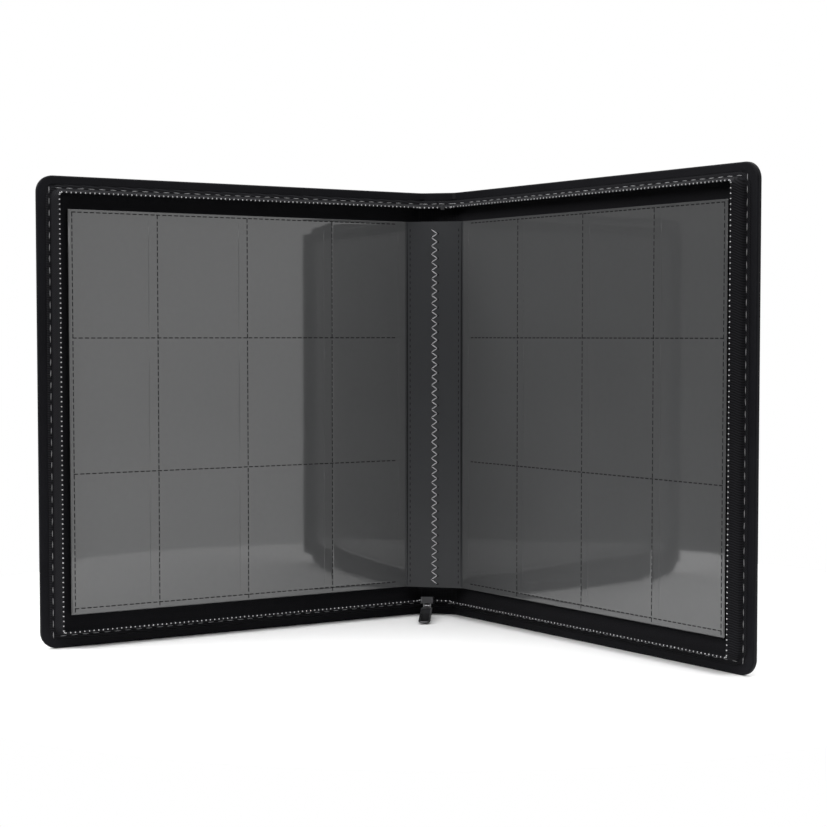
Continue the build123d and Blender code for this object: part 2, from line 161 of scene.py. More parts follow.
# ---- Welds on the leaves ----
WELD_DIP = 0.07 * MM
WELD_GROOVE = 0.9 * MM
GRID_CROWD = 1.2 * MM
GRID_PER_CELL = 6
DASH_LENGTH = 3.1 * MM
DASH_GAP = 1.5 * MM
DASH_WIDTH = 0.72 * MM
DASH_PROUD = 0.035 * MM
DASH_SUNK = 0.09 * MM
DASH_SCATTER = 0.2
DASH_MARGIN = 1 * MM
DASH_ROW_START = 9 * MM
EDGE_BEAD_INSET = 0.9 * MM
EDGE_BEAD = (1.3 * MM, 0.09 * MM)
BEAD_MARGIN = 2 * MM
SLIT_OFFSET = 7 * MM
SLIT_MARGIN = 9 * MM
SLIT_LIP = (0.5 * MM, 0.07 * MM)
GUTTER_OVERLAP = 0.2 * MM
GUTTER_STEPS = 10
CREASE_OFFSET = 1.3 * MM
CREASE_BEAD = (1.3 * MM, 0.14 * MM)
CREASE_ROW_OFFSET = 3.6 * MM
CREASE_PITCH = 4.6 * MM
CREASE_WELD = (2.6 * MM, 0.7 * MM, 0.12 * MM)
BOX_FACES = [(0, 3, 2, 1), (4, 5, 6, 7), (0, 1, 5, 4), (1, 2, 6, 5), (2, 3, 7, 6), (3, 0, 4, 7)]

# ---- Saddle stitch and pad ----
ZIGZAG_PERIOD = 6.5 * MM
ZIGZAG_SWING = 2.4 * MM
ZIGZAG_SUNK = 0.1 * MM
ZIGZAG_SECTION = (0.85 * MM, 0.62 * MM)
ZIGZAG_LENGTHS = (0.96, 1.05)
# The dark disc beside each turn of the zigzag is painted shade: the needle hole's shadow, set off to one
# side.
HOLE_SHADE_OFFSET = 0.55 * MM
HOLE_SHADE_SIZE = (2.0 * MM, 1.3 * MM, 0.24 * MM)
PAD_INSET = 0.25 * MM
PAD_ROWS = 40
PAD_SIDES = 20
PAD_PINCH = 0.35
PAD_PINCH_POWER = 14
PAD_SQUARENESS = 0.45


# ---- Mesh helpers ----

def make_object(name, verts, faces, smooth=True):
    """A new mesh object with its faces turned outwards."""
    mesh = bpy.data.meshes.new(name)
    mesh.from_pydata([tuple(v) for v in verts], [], faces)
    mesh.update()
    work = bmesh.new()
    work.from_mesh(mesh)
    bmesh.ops.recalc_face_normals(work, faces=work.faces)
    work.to_mesh(mesh)
    work.free()
    for polygon in mesh.polygons:
        polygon.use_smooth = smooth
    thing = bpy.data.objects.new(name, mesh)
    bpy.context.scene.collection.objects.link(thing)
    return thing


def sweep(rings):
    """Vertices and faces of a solid through equal rings of points, closed at both ends."""
    count = len(rings[0])
    verts = [point for ring in rings for point in ring]
    faces = []
    for row in range(len(rings) - 1):
        for step in range(count):
            a = row * count + step
            b = row * count + (step + 1) % count
            faces.append((a, b, b + count, a + count))
    faces.append(tuple(range(count)))
    faces.append(tuple(range(len(verts) - count, len(verts))))
    return verts, faces


def capsule(middle, along, across, up, size, segments=6, rings=5):
    """Vertices and faces of one rounded stitch or tooth. Its size is (length, width, height)."""
    length, width, height = size
    loops = []
    for ring in range(rings):
        share = ring / (rings - 1)
        centre = middle + along * (length * (share - 0.5))
        swell = math.sqrt(max(BLUNT_END, 1 - (2 * share - 1) ** 2))
        loop = []
        for step in range(segments):
            turn = 2 * math.pi * step / segments
            offset = across * (math.cos(turn) * width / 2 * swell)
            offset = offset + up * (math.sin(turn) * height / 2 * swell)
            loop.append(centre + offset)
        loops.append(loop)
    return sweep(loops)


class Gather:
    """Collects many small solids into one mesh."""

    def __init__(self):
        self.verts = []
        self.faces = []

    def add(self, verts, faces):
        start = len(self.verts)
        self.verts.extend(verts)
        self.faces.extend(tuple(index + start for index in face) for face in faces)

    def build(self, name, smooth=True):
        return make_object(name, self.verts, self.faces, smooth=smooth)


# ---- Materials ----

class Nodes:
    """A short way to wire a material's nodes."""

    def __init__(self, name):
        self.material = bpy.data.materials.new(name)
        self.material.use_nodes = True
        self.tree = self.material.node_tree
        self.shader = self.tree.nodes["Principled BSDF"]

    def new(self, kind, **settings):
        node = self.tree.nodes.new(kind)
        for key, value in settings.items():
            setattr(node, key, value)
        return node

    def link(self, source, target):
        self.tree.links.new(source, target)

    def put(self, socket, value):
        """Sets a number on the shader itself."""
        self.shader.inputs[socket].default_value = value

    def math(self, operation, first, second=None, clamp=False):
        node = self.new("ShaderNodeMath", operation=operation, use_clamp=clamp)
        for socket, value in zip(node.inputs, (first, second)):
            if value is None:
                continue
            if isinstance(value, (int, float)):
                socket.default_value = value
            else:
                self.link(value, socket)
        return node.outputs[0]

    def mixed(self, first, first_share, second, second_share, clamp=False):
        """The sum of two values, each times its share."""
        parts = [self.math("MULTIPLY", first, first_share), self.math("MULTIPLY", second, second_share)]
        return self.math("ADD", *parts, clamp=clamp)

    def waves(self, value, period):
        """The sine of a length, which returns after twice the period."""
        return self.math("SINE", self.math("MULTIPLY", value, math.pi / period))

    def place(self, turn=0.0):
        """The rest position, turned about Z."""
        source = self.new("ShaderNodeTexCoord").outputs["Object"]
        if turn:
            mapping = self.new("ShaderNodeMapping")
            mapping.inputs["Rotation"].default_value = (0, 0, turn)
            self.link(source, mapping.inputs["Vector"])
            source = mapping.outputs["Vector"]
        return source

    def axes(self, source):
        """X, Y and Z of a place."""
        split = self.new("ShaderNodeSeparateXYZ")
        self.link(source, split.inputs[0])
        return split.outputs

    def noise(self, source, scale, detail=3.0, rough=0.5):
        node = self.new("ShaderNodeTexNoise")
        node.inputs["Scale"].default_value = scale
        node.inputs["Detail"].default_value = detail
        node.inputs["Roughness"].default_value = rough
        self.link(source, node.inputs["Vector"])
        return node.outputs["Fac"]

    def ramp(self, source, low, high, start=0.0, end=1.0):
        """Runs a value from one base colour to another."""
        node = self.new("ShaderNodeValToRGB")
        first, last = node.color_ramp.elements
        first.position = start
        last.position = end
        first.color = (*low, 1)
        last.color = (*high, 1)
        self.link(source, node.inputs[0])
        self.link(node.outputs["Color"], self.shader.inputs["Base Color"])

    def rough(self, source, low, high):
        """Runs a value of 0 to 1 over a range of roughness."""
        node = self.new("ShaderNodeMapRange")
        node.inputs["To Min"].default_value = low
        node.inputs["To Max"].default_value = high
        self.link(source, node.inputs["Value"])
        self.link(node.outputs["Result"], self.shader.inputs["Roughness"])

    def bump(self, height, distance, sockets=("Normal",)):
        node = self.new("ShaderNodeBump")
        node.inputs["Distance"].default_value = distance
        self.link(height, node.inputs["Height"])
        for socket in sockets:
            self.link(node.outputs["Normal"], self.shader.inputs[socket])


def weave(name, dark, light, turn=0.0, period=1.3 * MM):
    """Plain-woven cloth: warp and weft pass over and under each other."""
    mat = Nodes(name)
    source = mat.place(turn)
    axes = mat.axes(source)
    first = mat.waves(axes[0], period)
    second = mat.waves(axes[2], period)
    over = mat.math("GREATER_THAN", mat.math("MULTIPLY", first, second), 0.0)
    under = mat.math("SUBTRACT", 1.0, over)
    warp = mat.math("MULTIPLY", mat.math("ABSOLUTE", first), over)
    weft = mat.math("MULTIPLY", mat.math("ABSOLUTE", second), under)
    fuzz = mat.noise(source, scale=900, detail=4)
    blotch = mat.noise(source, scale=14, detail=3)
    height = mat.mixed(mat.math("ADD", warp, weft), 0.55, fuzz, 0.3)
    shade = mat.math("ADD", height, mat.math("MULTIPLY", blotch, 0.25), clamp=True)
    mat.ramp(shade, dark, light, start=0.2)
    mat.rough(fuzz, 0.75, 0.95)
    mat.put("Sheen Weight", 0.05)
    mat.put("Sheen Roughness", 0.4)
    mat.put("Specular IOR Level", 0.1)
    mat.bump(height, 0.12 * MM)
    return mat.material


def twill(name, dark, light, turn):
    """Twill tape: raised diagonal ribs crossed by a finer thread."""
    period = 1.7 * MM
    mat = Nodes(name)
    source = mat.place(turn)
    axes = mat.axes(source)
    rib = mat.math("ABSOLUTE", mat.waves(mat.math("ADD", axes[0], axes[2]), period))
    cross = mat.math("ABSOLUTE", mat.waves(mat.math("SUBTRACT", axes[0], axes[2]), period / 2.2))
    fuzz = mat.noise(source, scale=900, detail=4)
    ribbed = mat.math("MULTIPLY", rib, mat.math("ADD", 0.6, mat.math("MULTIPLY", cross, 0.4)))
    mat.ramp(mat.mixed(ribbed, 0.8, fuzz, 0.25, clamp=True), dark, light, start=0.35)
    mat.rough(fuzz, 0.7, 0.9)
    mat.put("Specular IOR Level", 0.12)
    mat.bump(ribbed, 0.15 * MM)
    return mat.material


def satin(name, dark, light):
    """Smooth edge tape with a fine rib and soft wear along it."""
    mat = Nodes(name)
    source = mat.place()
    rib = mat.waves(mat.axes(source)[2], 0.25 * MM)
    fine = mat.noise(source, scale=700, detail=4)
    wide = mat.noise(source, scale=22, detail=4)
    mat.ramp(mat.mixed(fine, 0.4, wide, 0.6), dark, light, start=0.3, end=0.75)
    mat.rough(wide, 0.42, 0.6)
    mat.put("Sheen Weight", 0.02)
    mat.put("Specular IOR Level", 0.07)
    mat.bump(mat.math("ADD", mat.math("MULTIPLY", rib, 0.15), fine), 0.05 * MM)
    return mat.material


def film(name, base, coat_weight, coat_rough, coat_ior, wave):
    """Black leaf under clear glossy film, with the slight waves of welded plastic."""
    mat = Nodes(name)
    source = mat.place()
    fine = mat.noise(source, scale=260, detail=5)
    wide = mat.noise(source, scale=7, detail=2)
    low = tuple(value * 0.86 for value in base)
    mat.ramp(mat.mixed(fine, 0.3, wide, 0.7), low, base, start=0.3, end=0.7)
    mat.rough(fine, 0.38, 0.52)
    mat.put("Coat Weight", coat_weight)
    mat.put("Coat Roughness", coat_rough)
    mat.put("Coat IOR", coat_ior)
    mat.put("Specular IOR Level", 0.2)
    height = mat.math("ADD", wide, mat.math("MULTIPLY", fine, 0.012))
    mat.bump(height, wave, sockets=("Normal", "Coat Normal"))
    return mat.material


def thread(name, dark, light):
    """Twisted sewing thread."""
    mat = Nodes(name)
    source = mat.place()
    axes = mat.axes(source)
    twist = mat.math("ADD", axes[0], mat.math("ADD", axes[1], axes[2]))
    ply = mat.waves(twist, 0.225 * MM)
    fuzz = mat.noise(source, scale=1500)
    shade = mat.math("ADD", mat.math("MULTIPLY", ply, 0.25), fuzz, clamp=True)
    mat.ramp(shade, dark, light, start=0.1, end=0.9)
    mat.rough(fuzz, 0.5, 0.75)
    mat.bump(mat.math("ADD", ply, fuzz), 0.06 * MM)
    return mat.material


def metal(name, dark, light, rough=(0.22, 0.42)):
    """Lacquered or bare metal, lighter in random worn patches, with a painted highlight along its sharp
    edges.
    """
    mat = Nodes(name)
    source = mat.place()
    grain = mat.noise(source, scale=500, detail=5)
    patch = mat.noise(source, scale=60)
    edge = mat.new("ShaderNodeNewGeometry").outputs["Pointiness"]
    # Sharp edges are lightened in the base colour: a painted highlight.
    painted_edge_highlight = mat.math("MULTIPLY", mat.math("SUBTRACT", edge, 0.5), 6.0)
    mat.ramp(mat.math("ADD", painted_edge_highlight, patch, clamp=True), dark, light, start=0.6)
    mat.rough(grain, *rough)
    mat.put("Metallic", 1.0)
    mat.bump(grain, 0.02 * MM)
    return mat.material


def board(name):
    """Grey stiffener board."""
    mat = Nodes(name)
    fibre = mat.noise(mat.place(), scale=350, detail=6, rough=0.7)
    mat.ramp(fibre, (0.13, 0.125, 0.12), (0.30, 0.29, 0.28))
    mat.put("Roughness", 0.95)
    mat.bump(fibre, 0.1 * MM)
    return mat.material


def tooth_plastic(name, dark, light):
    """Moulded nylon teeth, glossy on their crowns."""
    mat = Nodes(name)
    grain = mat.noise(mat.place(), scale=800)
    mat.ramp(grain, dark, light, start=0.3, end=0.8)
    mat.rough(grain, 0.2, 0.34)
    mat.bump(grain, 0.03 * MM)
    return mat.material


def weld_surface(name):
    """The darker, rougher surface of a weld."""
    mat = Nodes(name)
    grain = mat.noise(mat.place(), scale=900)
    mat.ramp(grain, (0.003, 0.003, 0.003), (0.009, 0.009, 0.010))
    mat.rough(grain, 0.6, 0.8)
    mat.put("Specular IOR Level", 0.12)
    mat.bump(grain, 0.02 * MM)
    return mat.material


MATERIALS = {
    "film": film("leaf_film", (0.053, 0.054, 0.055), 1.0, 0.04, 1.72, 0.08 * MM),
    "band": film("sheet_band", (0.020, 0.021, 0.023), 0.4, 0.34, 1.5, 0.05 * MM),
    "dash": weld_surface("weld_dash"),
    "thread": thread("seam_thread", (0.17, 0.17, 0.175), (0.40, 0.40, 0.41)),
    "zigzag": thread("zigzag_thread", (0.24, 0.24, 0.25), (0.52, 0.52, 0.54)),
    "binding": satin("edge_tape", (0.003, 0.003, 0.004), (0.007, 0.007, 0.009)),
    "tape": twill("zip_tape_cloth", (0.002, 0.002, 0.0025), (0.015, 0.015, 0.018), ANGLE),
    "coil": tooth_plastic("coil_nylon", (0.26, 0.26, 0.265), (0.52, 0.52, 0.53)),
    "slider": metal("slider_lacquer", (0.010, 0.010, 0.011), (0.11, 0.11, 0.115)),
    "bail": metal("bail_steel", (0.30, 0.30, 0.31), (0.72, 0.72, 0.73)),
    "tab": metal("tab_lacquer", (0.030, 0.030, 0.032), (0.34, 0.34, 0.35), (0.28, 0.5)),
    "board": board("stiffener_board"),
    "pad": weave("pad_cloth", (0.006, 0.006, 0.007), (0.025, 0.025, 0.027), 0.0, 1.4 * MM),
    "spine": weave("spine_cloth", (0.004, 0.004, 0.005), (0.024, 0.024, 0.027)),
}
for half, half_names in SIDES.items():
    half_cover = half_names["cover"]
    MATERIALS[f"{half_cover}_outer"] = weave(
        f"{half_cover}_cloth", (0.004, 0.004, 0.005), (0.026, 0.026, 0.029), half * ANGLE
    )
    MATERIALS[f"{half_cover}_lining"] = weave(
        f"{half_cover}_lining_cloth", (0.003, 0.003, 0.004), (0.014, 0.014, 0.016), half * ANGLE, 0.7 * MM
    )


def paint(thing, key):
    """Gives an object one material."""
    thing.data.materials.clear()
    thing.data.materials.append(MATERIALS[key])
    return thing


# ---- CAD nodes that keep their shape ----

def paint_nodes():
    nodes = frame["nodes"]
    for names in SIDES.values():
        cover = names["cover"]
        paint(nodes[f"{cover}_outer"], f"{cover}_outer")
        paint(nodes[f"{cover}_lining"], f"{cover}_lining")
        paint(nodes[f"{cover}_board"], "board")
        paint(nodes[f"{cover}_edge_binding"], "binding")
    paint(nodes["spine_outer"], "spine")
    paint(nodes["spine_lining"], "spine")
    paint(nodes["spine_board"], "board")
    paint(nodes["spine_edge_binding"], "binding")
    paint(nodes["sheet_centres"], "band")
    paint(nodes["slider_body"], "slider")
    paint(nodes["zip_stop"], "slider")
    paint(nodes["slider_bail"], "bail")
    paint(nodes["pull_tab"], "tab")


# ---- Path round one half: along the bottom edge, up the fore-edge and back along the top ----

def flow(reach, before, after):
    """The place, outward direction and forward direction at a reach from mid-spine. The turn
    starts a little before the hinge and ends after it."""
    start_reach = HINGE.x - before
    share = (reach - start_reach) / (before + after)
    if share <= 0:
        return Vector((reach, SPINE_FACE, 0)), Vector((0, 1, 0)), Vector((1, 0, 0))
    if share >= 1:
        return HINGE + ALONG * (reach - HINGE.x), OUT.copy(), ALONG.copy()
    start = Vector((start_reach, SPINE_FACE, 0))
    end = HINGE + ALONG * after
    leave = start + Vector((BEND_HANDLE * before, 0, 0))
    arrive = end - ALONG * (BEND_HANDLE * after)
    rest = 1 - share
    spot = start * rest ** 3 + leave * (3 * rest ** 2 * share)
    spot += arrive * (3 * rest * share ** 2) + end * share ** 3
    turn = ANGLE * share * share * (3 - 2 * share)
    out = Vector((math.sin(turn), math.cos(turn), 0))
    forward = Vector((math.cos(turn), -math.sin(turn), 0))
    return spot, out, forward


def edge_path(inset, corner, step, start=0.0):
    """Points along one half at an inset, with rounded corners. Each is (reach, height, inward
    direction in the face as (reach, height))."""
    far = HINGE.x + REACH - inset
    low = inset
    high = HEIGHT - inset
    points = []
    count = max(2, round((far - corner - start) / step))
    for index in range(count):
        points.append((start + (far - corner - start) * index / count, low, (0, 1)))
    turns = max(2, round(corner * math.pi / 2 / step))
    for index in range(turns):
        turn = math.pi / 2 * index / turns
        spot = (far - corner + corner * math.sin(turn), low + corner - corner * math.cos(turn))
        points.append((*spot, (-math.sin(turn), math.cos(turn))))
    count = max(2, round((high - low - 2 * corner) / step))
    for index in range(count):
        points.append((far, low + corner + (high - low - 2 * corner) * index / count, (-1, 0)))
    for index in range(turns):
        turn = math.pi / 2 * index / turns
        spot = (far - corner + corner * math.cos(turn), high - corner + corner * math.sin(turn))
        points.append((*spot, (-math.cos(turn), -math.sin(turn))))
    count = max(2, round((far - corner - start) / step))
    for index in range(count + 1):
        points.append((far - corner + (start - far + corner) * index / count, high, (0, -1)))
    return points


def lift(side, reach, depth, height, before=ZIP_BEFORE, after=ZIP_AFTER):
    """A place on one half, mirrored for the front half."""
    spot, out, _ = flow(reach, before, after)
    spot = spot + out * depth
    return Vector((side * spot.x, spot.y, height))


def facing(side, reach, inward):
    """The outward direction of one half at a reach, and the direction inwards over its face."""
    _, out, forward = flow(reach, ZIP_BEFORE, ZIP_AFTER)
    across = Vector((side * forward.x, forward.y, 0)) * inward[0] + Vector((0, 0, inward[1]))
    return Vector((side * out.x, out.y, 0)), across


# ---- Zip ----

def tape_profile():
    """(inset, depth) round the tape's section: a flat flange and a wall bowed outwards."""
    half = TAPE_THICKNESS / 2
    flange = [
        (TAPE_OUTER_INSET, -TAPE_SUNK),
        (TAPE_OUTER_INSET, -TAPE_THICKNESS),
        (SEAM_INSET, -TAPE_THICKNESS - TAPE_SWELL),
    ]
    wall = []
    for index in range(WALL_STEPS + 1):
        share = index / WALL_STEPS
        depth = -TAPE_THICKNESS - (TAPE_HEIGHT - TAPE_THICKNESS) * share
        bow = -TAPE_BOW * math.sin(math.pi * min(1.0, share / BOWED_SHARE))
        inset = TAPE_FOOT_INSET + (COIL_INSET - TAPE_FOOT_INSET) * share + bow
        wall.append((inset, depth))
    rising = [(inset - half, depth) for inset, depth in wall]
    falling = [(inset + half, depth) for inset, depth in reversed(wall)]
    return flange + rising + falling + [(TAPE_FOOT_INSET + half, -TAPE_SUNK)]


def sweep_edge(side, path, section, name):
    """A section carried along one half's edge. The section is a list of (distance inwards from
    the path, depth)."""
    rings = []
    for reach, height, inward in path:
        ring = []
        for away, depth in section:
            ring.append(lift(side, reach + inward[0] * away, depth, height + inward[1] * away))
        rings.append(ring)
    return make_object(name, *sweep(rings))


def build_tape(side):
    """One half's zip tape, in one piece from mid-spine to mid-spine."""
    section = [(inset - COIL_INSET, depth) for inset, depth in tape_profile()]
    path = edge_path(COIL_INSET, TAPE_CORNER, TAPE_STEP)
    return sweep_edge(side, path, section, f"{SIDES[side]['cover']}_zip_tape")


def build_cord(side):
    """The black cord that one half's teeth are sewn over, along the tape's tip."""
    middle = -(TAPE_HEIGHT + CORD_LIFT)
    section = []
    for step in range(CORD_SIDES):
        turn = 2 * math.pi * step / CORD_SIDES
        section.append((CORD_HALF_WIDTH * math.cos(turn), middle + CORD_HALF_HEIGHT * math.sin(turn)))
    path = edge_path(COIL_INSET, COIL_CORNER, CORD_STEP)
    return sweep_edge(side, path, section, f"{SIDES[side]['cover']}_zip_cord")


def build_teeth(side):
    """One half's teeth, each a rounded block of pale nylon."""
    gather = Gather()
    depth = TOOTH_SIZE[2] / 2 + TOOTH_SINK - COIL_TIP
    for reach, height, inward in edge_path(COIL_INSET, COIL_CORNER, TOOTH_PITCH, TOOTH_PITCH / 2):
        out, across = facing(side, reach, inward)
        middle = lift(side, reach, depth, height)
        gather.add(*capsule(middle, across, out.cross(across), out, TOOTH_SIZE, segments=8))
    return gather.build(f"{SIDES[side]['cover']}_zip_teeth")


def build_seam(side, inset, depth, stitch, name, start):
    """A row of sewn stitches along one half's edge, each a little arched and uneven. The stitch
    is (length, gap)."""
    rng = random.Random(11 + side + int(inset / MM * 10))
    gather = Gather()
    length, gap = stitch
    travelled = 0.0
    previous = None
    for reach, height, inward in edge_path(inset, SEAM_CORNER, SEAM_STEP, start):
        if previous is not None:
            travelled += math.hypot(reach - previous[0], height - previous[1])
        previous = (reach, height)
        if travelled < length + gap:
            continue
        travelled -= length + gap
        out, across = facing(side, reach, inward)
        up = -out if depth <= 0 else out
        run = up.cross(across).normalized()
        tilt = rng.uniform(-STITCH_TILT, STITCH_TILT)
        direction = (run + across * tilt).normalized()
        middle = lift(side, reach, depth, height)
        size = (length * rng.uniform(*STITCH_LENGTHS), STITCH_WIDTH, STITCH_HEIGHT)
        gather.add(*capsule(middle, direction, direction.cross(up), up, size))
    return gather.build(name)


def hinge_blend(thing):
    """Bakes a piece's placement into its mesh."""
    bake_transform(thing)


def build_zip():
    for side, names in SIDES.items():
        cover = names["cover"]
        tape = paint(build_tape(side), "tape")
        corner_nodes = [f"{cover}_zip_tape_top", f"{cover}_zip_tape_side", f"{cover}_zip_tape_bottom"]
        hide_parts(f"{cover}_zip_corners", "spine_zip_tape", *corner_nodes)
        cord = paint(build_cord(side), "tape")
        teeth = paint(build_teeth(side), "coil")
        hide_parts(f"{cover}_zip_coil", "spine_zip_coil")
        depth = -TAPE_THICKNESS - SEAM_PROUD
        seam = build_seam(side, SEAM_INSET, depth, SEAM_STITCH, f"{cover}_tape_seam", SEAM_START)
        paint(seam, "thread")
        for thing in (tape, cord, teeth, seam):
            hinge_blend(thing)


# ---- Hinge cloths and the edge tape across them ----

def strip_ring(inner, outer, low, high, rounding):
    """The strip's section at one reach, with rounded corners if asked."""
    thick = (outer - inner).length
    unit = (outer - inner) / thick
    corners = [
        (rounding, low + rounding, math.pi),
        (thick - rounding, low + rounding, math.pi * 1.5),
        (thick - rounding, high - rounding, 0.0),
        (rounding, high - rounding, math.pi / 2),
    ]
    ring = []
    for depth, height, first in corners:
        turns = [first + math.pi / 6 * step for step in range(4)] if rounding else [first]
        for turn in turns:
            spot = inner + unit * (depth + rounding * math.cos(turn))
            ring.append(Vector((spot.x, spot.y, height + rounding * math.sin(turn))))
    return ring


def groove_strip(side, depths, dip, heights, name, rounding=0.0):
    """A strip across one hinge between two depths and two heights, pressed in along its groove."""
    start = SPINE_EDGE - STRIP_OVERLAP_SPINE
    end = HINGE.x + HINGE_GROOVE + STRIP_OVERLAP_COVER
    rings = []
    for index in range(STRIP_STEPS + 1):
        share = index / STRIP_STEPS
        reach = start + (end - start) * share
        press = dip * math.sin(math.pi * share) ** 2
        inner, outer = (
            lift(side, reach, depth + press, 0, HINGE.x - SPINE_EDGE, HINGE_GROOVE) for depth in depths
        )
        rings.append(strip_ring(inner, outer, *heights, rounding))
    return make_object(name, *sweep(rings), smooth=False)


def build_hinges():
    thick = COVER_THICKNESS
    heights = (BINDING_HEIGHT, HEIGHT - BINDING_HEIGHT)
    ends = {
        "foot": (0.0, EDGE_TAPE_HEIGHT),
        "head": (HEIGHT - EDGE_TAPE_HEIGHT, HEIGHT),
    }
    for side, names in SIDES.items():
        cover = names["cover"]
        depths = (thick - OUTER_CLOTH, thick + CLOTH_PROUD)
        outer = groove_strip(side, depths, OUTER_DIP, heights, f"{cover}_hinge_outer")
        paint(outer, "spine")
        depths = (-CLOTH_PROUD, LINING_CLOTH)
        lining = groove_strip(side, depths, LINING_DIP, heights, f"{cover}_hinge_lining")
        paint(lining, "spine")
        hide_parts(f"{cover}_hinge_cloth")
        pieces = [outer, lining]
        for end, (base, top) in ends.items():
            inside = (base + EDGE_INSIDE, top - EDGE_INSIDE)
            depths = (-EDGE_WRAP, thick + EDGE_WRAP)
            tape = groove_strip(side, depths, 0.0, inside, f"{cover}_hinge_edge_{end}", EDGE_ROUNDING)
            paint(tape, "binding")
            pieces.append(tape)
        for thing in pieces:
            hinge_blend(thing)


# ---- Leaves ----

def leaf_pivot(side, number):
    """The place of a leaf's bend line."""
    return Vector(JOINTS[f"{SIDES[side]['leaves']}_leaf_{number:02d}_turn"]["pos_m"])


def on_leaf(side, number, reach, depth, height):
    """A leaf's place, from its own bend line."""
    pivot = leaf_pivot(side, number)
    spot = Vector((abs(pivot.x), pivot.y, 0)) + ALONG * reach + OUT * depth
    return Vector((side * spot.x, spot.y, height))


def running_lines(first, steps):
    """The positions reached from a first one by adding each step in turn."""
    lines = [first]
    for step in steps:
        lines.append(lines[-1] + step)
    return lines


COLUMN_LINES = running_lines(0.0, COLUMNS)
ROW_LINES = running_lines(SHEET_LOW.z + BOTTOM_MARGIN, ROWS)


def spread(lines, low, high):
    """Grid positions that crowd round each seam line."""
    spots = {low, high}
    for line in lines:
        for offset in (-GRID_CROWD, -GRID_CROWD / 2, 0, GRID_CROWD / 2, GRID_CROWD):
            if low < line + offset < high:
                spots.add(line + offset)
    edges = [low] + [line for line in lines if low < line < high] + [high]
    for left, right in zip(edges, edges[1:]):
        for index in range(1, GRID_PER_CELL):
            spots.add(left + (right - left) * index / GRID_PER_CELL)
    return sorted(spots)


def press(reach, height):
    """How far a leaf's face is pressed in at a place, next to a welded seam."""
    across = [abs(reach - line) for line in COLUMN_LINES[1:]]
    nearest = min(across + [abs(height - line) for line in ROW_LINES])
    return WELD_DIP * max(0.0, 1 - nearest / WELD_GROOVE)


def leaf_mesh(side, number):
    """A leaf whose faces dip at each welded seam."""
    across = spread(COLUMN_LINES, 0.0, LEAF_REACH)
    upward = spread(ROW_LINES, SHEET_LOW.z, SHEET_HIGH.z)
    verts = []
    for face_depth, direction in LEAF_FACES:
        for reach in across:
            for height in upward:
                depth = face_depth - direction * press(reach, height)
                verts.append(on_leaf(side, number, reach, depth, height))
    count = len(upward)
    half = len(across) * count
    faces = []
    for i in range(len(across) - 1):
        for j in range(count - 1):
            a = i * count + j
            faces.append((a, a + 1, a + count + 1, a + count))
            faces.append((half + a, half + a + count, half + a + count + 1, half + a + 1))
    for a in range(count - 1):
        b = (len(across) - 1) * count + a
        faces.append((a, half + a, half + a + 1, a + 1))
        faces.append((b, b + 1, half + b + 1, half + b))
    for i in range(len(across) - 1):
        a = i * count
        b = a + count - 1
        faces.append((a, a + count, half + a + count, half + a))
        faces.append((b, half + b, half + b + count, b + count))
    return make_object(f"{SIDES[side]['leaves']}_pocket_leaf_{number:02d}", verts, faces)


def weld_lines():
    """The start and end of every row of welds, as (reach, height)."""
    lines = []
    for reach in COLUMN_LINES[1:]:
        lines.append(((reach, SHEET_LOW.z + DASH_MARGIN), (reach, SHEET_HIGH.z - DASH_MARGIN)))
    for height in ROW_LINES:
        lines.append(((DASH_ROW_START, height), (LEAF_REACH - DASH_MARGIN, height)))
    return lines


def dash_rows(side, number):
    """The welded dashes along every seam, on both faces of a leaf."""
    rng = random.Random(200 + number + side)
    gather = Gather()
    pitch = DASH_LENGTH + DASH_GAP
    for start, end in weld_lines():
        run = math.hypot(end[0] - start[0], end[1] - start[1])
        unit = ((end[0] - start[0]) / run, (end[1] - start[1]) / run)
        for index in range(int(run / pitch)):
            at = (index + 0.5) * pitch + rng.uniform(-DASH_SCATTER, DASH_SCATTER) * MM
            centre = (start[0] + unit[0] * at, start[1] + unit[1] * at)
            for face_depth, direction in LEAF_FACES:
                corners = []
                for depth in (face_depth - direction * DASH_SUNK, face_depth + direction * DASH_PROUD):
                    for a, b in ((-1, -1), (1, -1), (1, 1), (-1, 1)):
                        reach = centre[0] + unit[0] * a * DASH_LENGTH / 2 - unit[1] * b * DASH_WIDTH / 2
                        height = centre[1] + unit[1] * a * DASH_LENGTH / 2 + unit[0] * b * DASH_WIDTH / 2
                        corners.append(on_leaf(side, number, reach, depth, height))
                gather.add(corners, BOX_FACES)
    return gather.build(f"{SIDES[side]['leaves']}_welds_{number:02d}", smooth=False)


def slit_rims(side, number):
    """The raised lip of each pocket's loading slit and the welded bead along the outer edge, on
    both faces."""
    gather = Gather()
    across = Vector((side * ALONG.x, ALONG.y, 0))
    out = Vector((side * OUT.x, OUT.y, 0))
    for face_depth, direction in LEAF_FACES:
        height = SHEET_LOW.z + SHEET_HEIGHT / 2
        middle = on_leaf(side, number, LEAF_REACH - EDGE_BEAD_INSET, face_depth, height)
        size = (SHEET_HEIGHT - BEAD_MARGIN, *EDGE_BEAD)
        gather.add(*capsule(middle, UPRIGHT, across, out * direction, size, segments=8, rings=9))
    for left in COLUMN_LINES[:-1]:
        for low, high in zip(ROW_LINES, ROW_LINES[1:]):
            for face_depth, direction in LEAF_FACES:
                middle = on_leaf(side, number, left + SLIT_OFFSET, face_depth, (low + high) / 2)
                size = (high - low - SLIT_MARGIN, *SLIT_LIP)
                gather.add(*capsule(middle, UPRIGHT, across, out * direction, size, rings=7))
    return gather.build(f"{SIDES[side]['leaves']}_slits_{number:02d}")


def build_leaves():
    for side, names in SIDES.items():
        for number in range(1, LEAF_COUNT + 1):
            node = f"{names['leaves']}_leaf_{number:02d}"
            leaf = paint(leaf_mesh(side, number), "film")
            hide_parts(node)
            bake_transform(leaf)
            welds = paint(dash_rows(side, number), "dash")
            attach(welds, f"{node}_body")
            slits = paint(slit_rims(side, number), "film")
            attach(slits, f"{node}_body")


